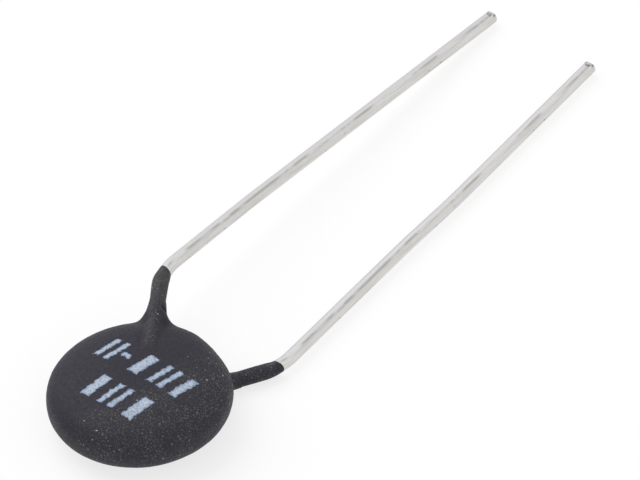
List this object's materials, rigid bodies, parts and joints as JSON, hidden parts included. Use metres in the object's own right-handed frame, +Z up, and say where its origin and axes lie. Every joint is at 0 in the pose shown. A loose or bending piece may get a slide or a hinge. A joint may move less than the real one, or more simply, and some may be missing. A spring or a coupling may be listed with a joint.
{
  "type": "ntc thermistor",
  "caption": "Leaded disc thermistor: black dip coated pillow disc with two coated legs and long straight tinned wire leads, lying flat.",
  "frame": {"origin": "on the table, under the middle of the part's bounding box", "axes": "+Y from the coated disc towards the lead tips, +Z up from the table through the disc's face, +X towards the lead soldered to the disc's underside"},
  "size_m": [0.0104, 0.0446, 0.004],
  "materials": {
    "coat_black": "matte silicone dip coat with fine pits and pale specks",
    "ceramic_grey": "sintered metal oxide, matt",
    "silver_fired": "fired silver film, dull",
    "solder_dull": "dull solder",
    "wire_tinned": "tinned copper wire, satin with faint drawing lines"
  },
  "bodies": {
    "root": {"dip_coat": "coat_black", "ceramic_disc": "ceramic_grey", "front_electrode": "silver_fired", "rear_electrode": "silver_fired", "front_solder": "solder_dull", "rear_solder": "solder_dull", "front_lead": "wire_tinned", "rear_lead": "wire_tinned"}
  },
  "joints": []
}
